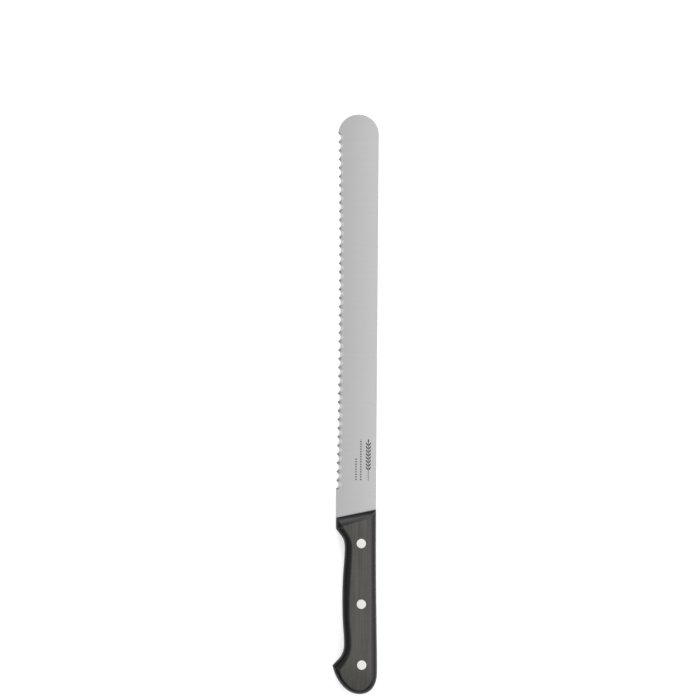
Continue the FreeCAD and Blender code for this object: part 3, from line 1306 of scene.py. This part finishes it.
@dataclass
class ScallopGrinder:
    """Geometry nodes that grind the scallops: slanting round flutes, side by side."""

    blade: Blade
    finish: bpy.types.Material

    def sizes(self) -> dict[str, float]:
        """The tree's named inputs.

        Returns:
            Each input's value, in millimetres and radians.
        """
        blade = self.blade
        pitch = (blade.edge_end - blade.edge_start) / blade.scallops
        angle = math.radians(blade.scallop_angle)
        rise = blade.scallop_depth * math.sin(angle)
        taper = (blade.grind_drop + 4 * blade.crown) / blade.edge_widths[0]
        return {
            "Start": blade.edge_start,
            "Pitch": pitch,
            "Scallops": float(blade.scallops),
            "Depth": blade.scallop_depth,
            "Angle": angle,
            "Flute radius": ((pitch / 2) ** 2 + rise**2) / (2 * rise),
            "Land": blade.land,
            "Taper": taper,
            "Run out": blade.run_out,
        }

    def tree(self) -> bpy.types.NodeTree:
        """Builds the tree.

        Returns:
            The tree, with an input for each size.
        """
        tree = bpy.data.node_groups.new("scallop_grinder", "GeometryNodeTree")
        face = tree.interface
        face.new_socket("Geometry", in_out="INPUT", socket_type="NodeSocketGeometry")
        for name in self.sizes():
            face.new_socket(name, in_out="INPUT", socket_type="NodeSocketFloat")
        face.new_socket("Origin", in_out="INPUT", socket_type="NodeSocketVector")
        face.new_socket("Geometry", in_out="OUTPUT", socket_type="NodeSocketGeometry")
        kit = NodeKit(tree)
        given = kit.add("NodeGroupInput")
        size = {name: given.out(name) for name in self.sizes()}
        place = kit.add("ShaderNodeSeparateXYZ", None, {0: kit.add("GeometryNodeInputPosition")})
        x, z, moved = self._ground(kit, place.out("Y"), size)
        target = kit.vector(x, place.out("Y"), z)
        moves = {"Geometry": given, "Selection": moved, "Position": target}
        ground = kit.add("GeometryNodeSetPosition", None, moves)
        weld = {"Geometry": ground, "Distance": WELD}
        welded = kit.add("GeometryNodeMergeByDistance", None, weld)
        scale = {"Geometry": welded, "Translation": given.out("Origin"), "Scale": (MM, MM, MM)}
        placed = kit.add("GeometryNodeTransform", None, scale)
        real = kit.add("GeometryNodeRealizeInstances", None, {"Geometry": placed})
        done = kit.add("GeometryNodeSetMaterial", None, {"Geometry": real, "Material": self.finish})
        kit.add("NodeGroupOutput", None, {"Geometry": done})
        return tree

    def _ground(
        self, kit: NodeKit, y: Socket, size: dict[str, Socket]
    ) -> tuple[Socket, Socket, Socket]:
        """Where a point of the edge is after grinding.

        Args:
            kit: adds the nodes.
            y: the point's place along the knife.
            size: the tree's inputs.

        Returns:
            Its place across, its height, and whether it moves at all.
        """
        down, outline, line, half = (
            self._named(kit, n) for n in ("down", "outline_x", "line_x", "edge_half")
        )
        number = ((y - size["Start"]) / size["Pitch"]).floor()
        number = number.at_least(0.0).at_most(size["Scallops"] - 1.0)
        off = y - size["Start"] - (number + 0.5) * size["Pitch"]
        radius = size["Flute radius"]
        rise = radius - (radius * radius - off * off).at_least(0.0).root()
        sine = kit.maths("SINE", size["Angle"])
        slope = kit.maths("TANGENT", size["Angle"])
        back = line + size["Depth"] - rise / sine
        low = size["Land"] - half
        taper = size["Taper"]
        top_x = (back + (half - taper * line - low) / slope) / (1.0 - taper / slope)
        top_x = top_x.at_least(outline)
        top_z = half + taper * (top_x - line)
        z = top_z * (1.0 - down) - half * down
        x = (back + (z - low) / slope).at_least(outline).at_most(top_x)
        reach = size["Run out"]
        end = size["Start"] + size["Pitch"] * size["Scallops"]
        moved = down.above(-0.5) * y.above(size["Start"] - reach) * (end + reach).above(y)
        return x, z, moved

    @staticmethod
    def _named(kit: NodeKit, name: str) -> Socket:
        """The points' value of that name."""
        return kit.add("GeometryNodeInputNamedAttribute", {"data_type": "FLOAT"}, {"Name": name})

    def grind(self, rough: bpy.types.Object, name: str) -> bpy.types.Mesh:
        """Runs the tree on the rough blank.

        Args:
            rough: the object that holds the blank.
            name: the new mesh's name.

        Returns:
            The ground mesh, in place in the frame.
        """
        tree = self.tree()
        sizes: dict[str, Any] = {**self.sizes(), "Origin": self.blade.datum}
        modifier = rough.modifiers.new("grind", "NODES")
        modifier.node_group = tree
        for item in tree.interface.items_tree:
            if item.in_out == "INPUT" and item.name in sizes:
                modifier[item.identifier] = sizes[item.name]
        graph = bpy.context.evaluated_depsgraph_get()
        mesh = bpy.data.meshes.new_from_object(rough.evaluated_get(graph))
        mesh.name = name
        rough.modifiers.remove(modifier)
        for extra in ("down", "outline_x", "line_x", "edge_half"):
            mesh.attributes.remove(mesh.attributes[extra])
        return mesh


# ---- The studio ----


@dataclass
class Studio:
    """A plain pale surface, soft light and the camera. Its first three sizes are in metres."""

    datum: Vector
    tip: Vector
    blade: bpy.types.Object
    board: float = 7.0
    camera_height: float = 6.0
    view_width: float = 0.5264
    look_at: Point = (-20.6, 120.2)
    roll: float = 0.44
    rest_y: float = -12.0
    tip_underside: float = -0.35
    clearance: float = 0.02
    overhead: float = 0.86
    backdrop: float = 1.0
    horizon: Point = (0.19, 0.15)
    horizon_band: Point = (0.26, 0.62)
    haze: float = 0.25
    haze_top: float = 0.32
    lamp_width: float = 42.0
    lamps: tuple[tuple[str, float, float, float], ...] = (
        ("lamp_tip", 180.0, 55.0, 1.65),
        ("lamp_butt", 0.0, 55.0, 0.5),
        ("lamp_spine", 90.0, 58.0, 0.9),
    )

    def build(self) -> None:
        """Makes the surface, the lights and the camera."""
        self._board()
        self._world()
        self._lights()
        self._camera()
        settings = bpy.context.scene.view_settings
        settings.view_transform = "Standard"
        settings.look = "None"

    def _board(self) -> None:
        """The surface. The knife rests on the front of its handle and on its tip, so it tilts."""
        drop = self.tip.z + self.tip_underside * MM
        rest = self.datum.y + self.rest_y * MM
        slope = drop / (self.tip.y - rest)
        half = self.board / 2
        corners = [(-half, -half), (half, -half), (half, half), (-half, half)]
        mesh = bpy.data.meshes.new("board")
        points = [(x, y, (y - rest) * slope - self.clearance * MM) for x, y in corners]
        mesh.from_pydata(points, [], [(0, 1, 2, 3)])
        board = bpy.data.objects.new("board", mesh)
        bpy.context.scene.collection.objects.link(board)
        mesh.materials.append(PaleBoard("pale_board").make())

    def _world(self) -> None:
        """Soft light from all round, brighter overhead, low down and from the spine side."""
        world = bpy.data.worlds.new("soft_room")
        bpy.context.scene.world = world
        world.use_nodes = True
        kit = NodeKit(world.node_tree)
        place = kit.add("ShaderNodeTexCoord", None, None, "Generated")
        axes = kit.add("ShaderNodeSeparateXYZ", None, {0: place})
        height = axes.out("Z")
        haze = self.haze * (1.0 - height.ramp(0.0, self.haze_top))
        low = self.horizon[0] + axes.out("X") * self.horizon[1] + haze
        strength = low + (self.overhead - low) * height.ramp(*self.horizon_band)
        seen = kit.add("ShaderNodeLightPath", None, None, "Is Camera Ray")
        strength = strength + (self.backdrop - strength) * seen
        shader = kit.add(
            "ShaderNodeBackground", None, {"Color": (1.0, 1.0, 1.0, 1.0), "Strength": strength}
        )
        kit.add("ShaderNodeOutputWorld", None, {"Surface": shader})

    def _lights(self) -> None:
        """Wide soft lights on the handle, from beyond the tip, the butt and the spine.

        They are kept off the blade, which would mirror them as a white glare from a low angle.
        """
        shielded = bpy.data.collections.new("shielded_from_lamps")
        shielded.objects.link(self.blade)
        shielded.collection_objects[0].light_linking.link_state = "EXCLUDE"
        for name, towards, tilt, strength in self.lamps:
            data = bpy.data.lights.new(name, "SUN")
            data.energy, data.angle = strength, math.radians(self.lamp_width)
            light = bpy.data.objects.new(name, data)
            bpy.context.scene.collection.objects.link(light)
            light.rotation_euler = Euler((math.radians(tilt), 0.0, math.radians(towards)))
            light.visible_camera = False
            light.light_linking.receiver_collection = shielded

    def _camera(self) -> None:
        """A long lens straight above the knife."""
        data = bpy.data.cameras.new("camera")
        camera = bpy.data.objects.new("camera", data)
        bpy.context.scene.collection.objects.link(camera)
        across, along = self.look_at
        camera.location = self.datum + Vector((across * MM, along * MM, self.camera_height))
        camera.rotation_euler = Euler((0.0, 0.0, math.radians(self.roll)))
        data.lens = data.sensor_width * self.camera_height / self.view_width
        data.clip_end = 100.0
        bpy.context.scene.camera = camera


def middle(node: str) -> Vector:
    """The middle of a CAD node's box."""
    low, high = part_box(node)
    return (low + high) / 2


def main() -> None:
    """Builds the knife and the studio."""
    logging.basicConfig(level=logging.INFO, format="%(name)s: %(message)s")
    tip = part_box("blade")[1]
    first = middle("front_rivet_tube")
    steel_middle = middle("blade").z
    datum = Vector((first.x - FRONT_RIVET_X * MM, tip.y - TIP_Y * MM, steel_middle))
    shape = HandleShape()
    places = ("front", "middle", "rear")
    centres = []
    for place in places:
        offset = (middle(f"{place}_rivet_tube") - datum) / MM
        centres.append((offset.x, offset.y))

    mark = Etching(start=datum + Vector((*MARK, 0.0)) * MM)
    blade = Blade(shape, datum, GroundSteel("ground_steel", etching=mark).make()).build()
    grip = MouldedGrip("moulded_grip", butt=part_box("left_scale")[0].y).make()
    for side in Side:
        HandleScale(side, shape, datum, centres, grip).build()
    for place, centre in zip(places, centres):
        spot = datum + Vector((*centre, 0.0)) * MM
        finish = BrightSteel(f"{place}_rivet_steel", centre=spot).make()
        rivet = Rivet(place, datum, centre, finish)
        for half in RivetHalf:
            rivet.build(half)
    Studio(datum, Vector((datum.x, tip.y, steel_middle)), blade).build()


if __name__ == "__main__":
    main()
